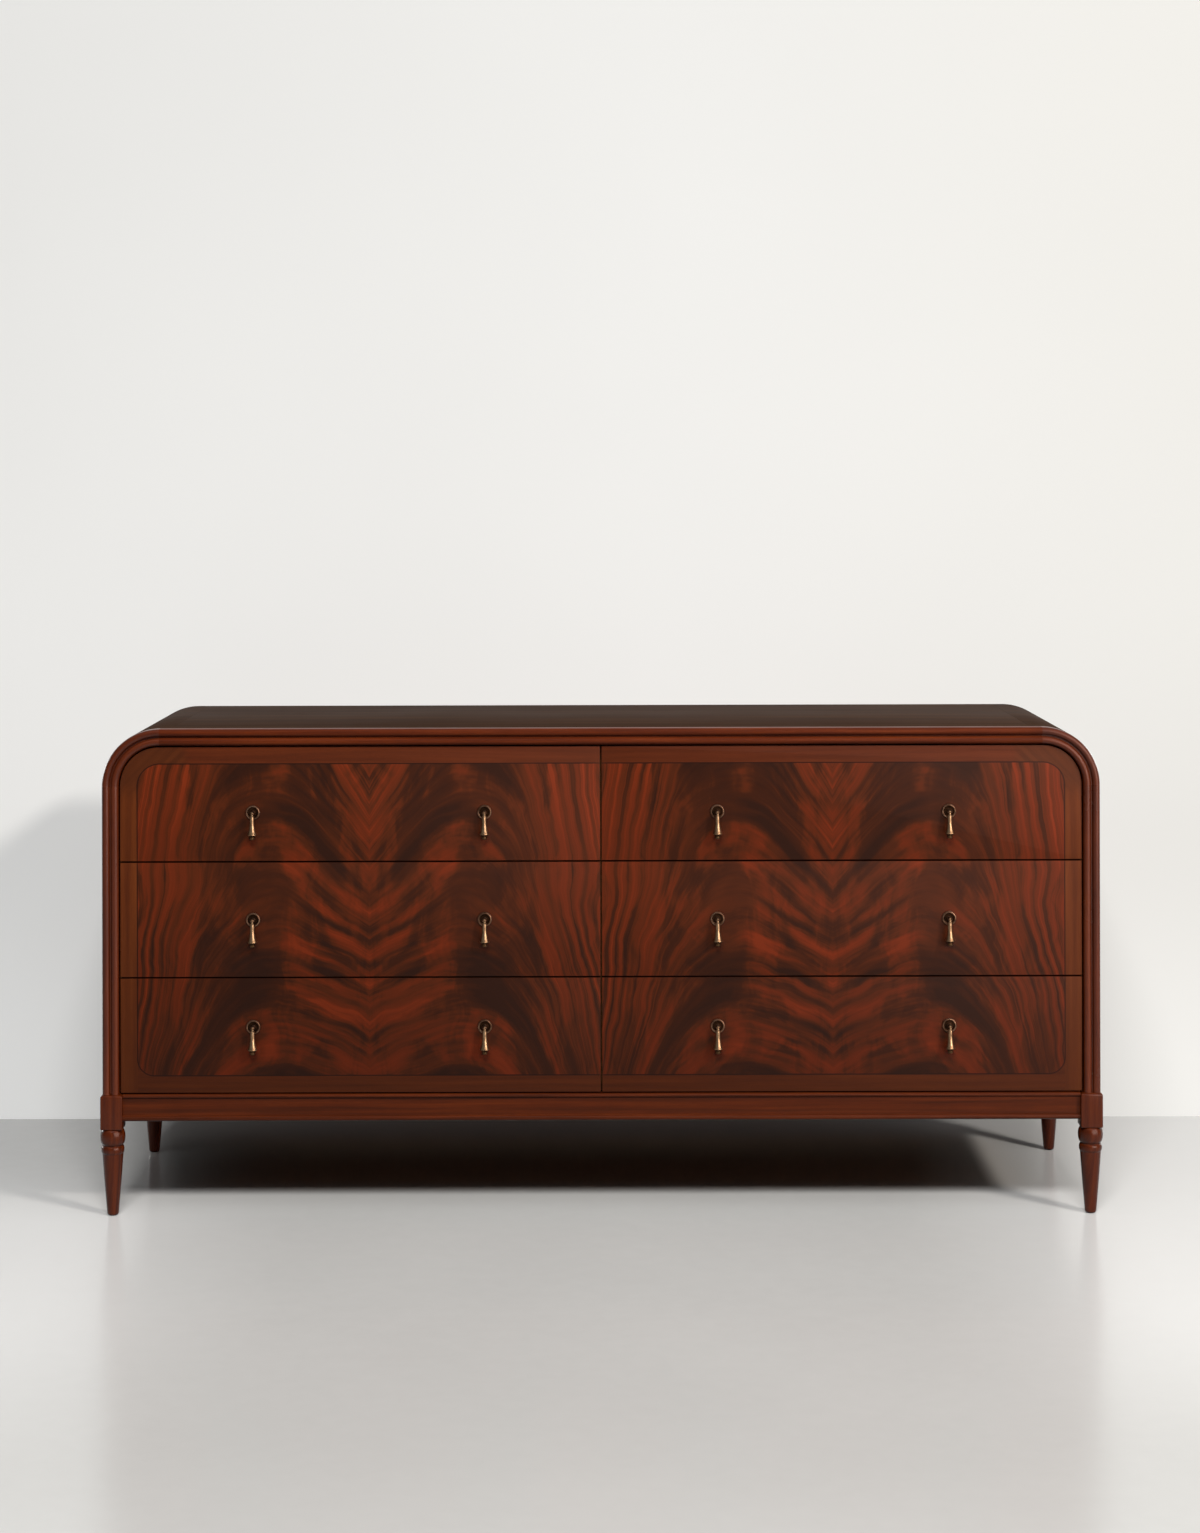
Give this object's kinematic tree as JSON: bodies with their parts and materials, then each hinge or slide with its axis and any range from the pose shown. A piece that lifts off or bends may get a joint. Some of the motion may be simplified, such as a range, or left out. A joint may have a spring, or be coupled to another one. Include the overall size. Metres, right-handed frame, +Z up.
{
  "type": "dresser",
  "caption": "Low wide dresser with a reeded frame, rounded top corners, turned legs, flame-veneered drawers and bell drop pulls.",
  "frame": {"origin": "on the floor under the middle of the whole piece", "axes": "+X to the right seen from the front, the front faces -Y, +Z up"},
  "size_m": [1.691, 0.4936, 0.82],
  "materials": {
    "mahogany": "satin lacquer over reddish brown stain",
    "case_veneer": "satin lacquer over straight dark veneer",
    "flame_veneer": "semi-gloss lacquer over book-matched flame veneer",
    "drawer_wood": "bare planed hardwood, waxed",
    "back_board": "stained plywood",
    "brass": "aged brass, darkened in the hollows"
  },
  "bodies": {
    "case": {"top_panel": "case_veneer", "top_corner_left": "case_veneer", "top_corner_right": "case_veneer", "side_panel_left": "case_veneer", "side_panel_right": "case_veneer", "back_panel": "back_board", "reeded_rail_top": "mahogany", "reeded_corner_left": "mahogany", "reeded_corner_right": "mahogany", "reeded_stile_left": "mahogany", "reeded_stile_right": "mahogany", "base_rail_front": "mahogany", "base_rail_back": "mahogany", "base_rail_left": "mahogany", "base_rail_right": "mahogany", "leg_front_left": "mahogany", "leg_front_right": "mahogany", "leg_back_left": "mahogany", "leg_back_right": "mahogany", "centre_partition": "drawer_wood", "bottom_board": "back_board", "divider_rails": "drawer_wood", "drawer_runners": "drawer_wood", "corner_blocks": "drawer_wood"},
    "bottom_left_drawer": {"bottom_left_drawer_front": "flame_veneer", "bottom_left_drawer_box": "drawer_wood", "bottom_left_drawer_bottom": "drawer_wood", "bottom_left_pull_mounts": "brass"},
    "middle_left_drawer": {"middle_left_drawer_front": "flame_veneer", "middle_left_drawer_box": "drawer_wood", "middle_left_drawer_bottom": "drawer_wood", "middle_left_pull_mounts": "brass"},
    "top_left_drawer": {"top_left_drawer_front": "flame_veneer", "top_left_drawer_box": "drawer_wood", "top_left_drawer_bottom": "drawer_wood", "top_left_pull_mounts": "brass"},
    "bottom_right_drawer": {"bottom_right_drawer_front": "flame_veneer", "bottom_right_drawer_box": "drawer_wood", "bottom_right_drawer_bottom": "drawer_wood", "bottom_right_pull_mounts": "brass"},
    "middle_right_drawer": {"middle_right_drawer_front": "flame_veneer", "middle_right_drawer_box": "drawer_wood", "middle_right_drawer_bottom": "drawer_wood", "middle_right_pull_mounts": "brass"},
    "top_right_drawer": {"top_right_drawer_front": "flame_veneer", "top_right_drawer_box": "drawer_wood", "top_right_drawer_bottom": "drawer_wood", "top_right_pull_mounts": "brass"},
    "bottom_left_pendant_inner": {"bottom_left_pendant_inner": "brass"},
    "bottom_left_pendant_outer": {"bottom_left_pendant_outer": "brass"},
    "middle_left_pendant_inner": {"middle_left_pendant_inner": "brass"},
    "middle_left_pendant_outer": {"middle_left_pendant_outer": "brass"},
    "top_left_pendant_inner": {"top_left_pendant_inner": "brass"},
    "top_left_pendant_outer": {"top_left_pendant_outer": "brass"},
    "bottom_right_pendant_inner": {"bottom_right_pendant_inner": "brass"},
    "bottom_right_pendant_outer": {"bottom_right_pendant_outer": "brass"},
    "middle_right_pendant_inner": {"middle_right_pendant_inner": "brass"},
    "middle_right_pendant_outer": {"middle_right_pendant_outer": "brass"},
    "top_right_pendant_inner": {"top_right_pendant_inner": "brass"},
    "top_right_pendant_outer": {"top_right_pendant_outer": "brass"}
  },
  "joints": [
    {"name": "bottom_left_drawer_slide", "type": "slide", "parent": "case", "child": "bottom_left_drawer", "axis": [0, -1, 0], "range_m": [0, 0.33]},
    {"name": "middle_left_drawer_slide", "type": "slide", "parent": "case", "child": "middle_left_drawer", "axis": [0, -1, 0], "range_m": [0, 0.33]},
    {"name": "top_left_drawer_slide", "type": "slide", "parent": "case", "child": "top_left_drawer", "axis": [0, -1, 0], "range_m": [0, 0.33]},
    {"name": "bottom_right_drawer_slide", "type": "slide", "parent": "case", "child": "bottom_right_drawer", "axis": [0, -1, 0], "range_m": [0, 0.33]},
    {"name": "middle_right_drawer_slide", "type": "slide", "parent": "case", "child": "middle_right_drawer", "axis": [0, -1, 0], "range_m": [0, 0.33]},
    {"name": "top_right_drawer_slide", "type": "slide", "parent": "case", "child": "top_right_drawer", "axis": [0, -1, 0], "range_m": [0, 0.33]},
    {"name": "bottom_left_pendant_inner_swing", "type": "hinge", "parent": "bottom_left_drawer", "child": "bottom_left_pendant_inner", "pos_m": [-0.196, -0.23865, 0.318], "axis": [-1, 0, 0], "range_deg": [-5, 100]},
    {"name": "bottom_left_pendant_outer_swing", "type": "hinge", "parent": "bottom_left_drawer", "child": "bottom_left_pendant_outer", "pos_m": [-0.586, -0.23865, 0.318], "axis": [-1, 0, 0], "range_deg": [-5, 100]},
    {"name": "middle_left_pendant_inner_swing", "type": "hinge", "parent": "middle_left_drawer", "child": "middle_left_pendant_inner", "pos_m": [-0.196, -0.23865, 0.4985], "axis": [-1, 0, 0], "range_deg": [-5, 100]},
    {"name": "middle_left_pendant_outer_swing", "type": "hinge", "parent": "middle_left_drawer", "child": "middle_left_pendant_outer", "pos_m": [-0.586, -0.23865, 0.4985], "axis": [-1, 0, 0], "range_deg": [-5, 100]},
    {"name": "top_left_pendant_inner_swing", "type": "hinge", "parent": "top_left_drawer", "child": "top_left_pendant_inner", "pos_m": [-0.196, -0.23865, 0.679], "axis": [-1, 0, 0], "range_deg": [-5, 100]},
    {"name": "top_left_pendant_outer_swing", "type": "hinge", "parent": "top_left_drawer", "child": "top_left_pendant_outer", "pos_m": [-0.586, -0.23865, 0.679], "axis": [-1, 0, 0], "range_deg": [-5, 100]},
    {"name": "bottom_right_pendant_inner_swing", "type": "hinge", "parent": "bottom_right_drawer", "child": "bottom_right_pendant_inner", "pos_m": [0.196, -0.23865, 0.318], "axis": [-1, 0, 0], "range_deg": [-5, 100]},
    {"name": "bottom_right_pendant_outer_swing", "type": "hinge", "parent": "bottom_right_drawer", "child": "bottom_right_pendant_outer", "pos_m": [0.586, -0.23865, 0.318], "axis": [-1, 0, 0], "range_deg": [-5, 100]},
    {"name": "middle_right_pendant_inner_swing", "type": "hinge", "parent": "middle_right_drawer", "child": "middle_right_pendant_inner", "pos_m": [0.196, -0.23865, 0.4985], "axis": [-1, 0, 0], "range_deg": [-5, 100]},
    {"name": "middle_right_pendant_outer_swing", "type": "hinge", "parent": "middle_right_drawer", "child": "middle_right_pendant_outer", "pos_m": [0.586, -0.23865, 0.4985], "axis": [-1, 0, 0], "range_deg": [-5, 100]},
    {"name": "top_right_pendant_inner_swing", "type": "hinge", "parent": "top_right_drawer", "child": "top_right_pendant_inner", "pos_m": [0.196, -0.23865, 0.679], "axis": [-1, 0, 0], "range_deg": [-5, 100]},
    {"name": "top_right_pendant_outer_swing", "type": "hinge", "parent": "top_right_drawer", "child": "top_right_pendant_outer", "pos_m": [0.586, -0.23865, 0.679], "axis": [-1, 0, 0], "range_deg": [-5, 100]}
  ]
}
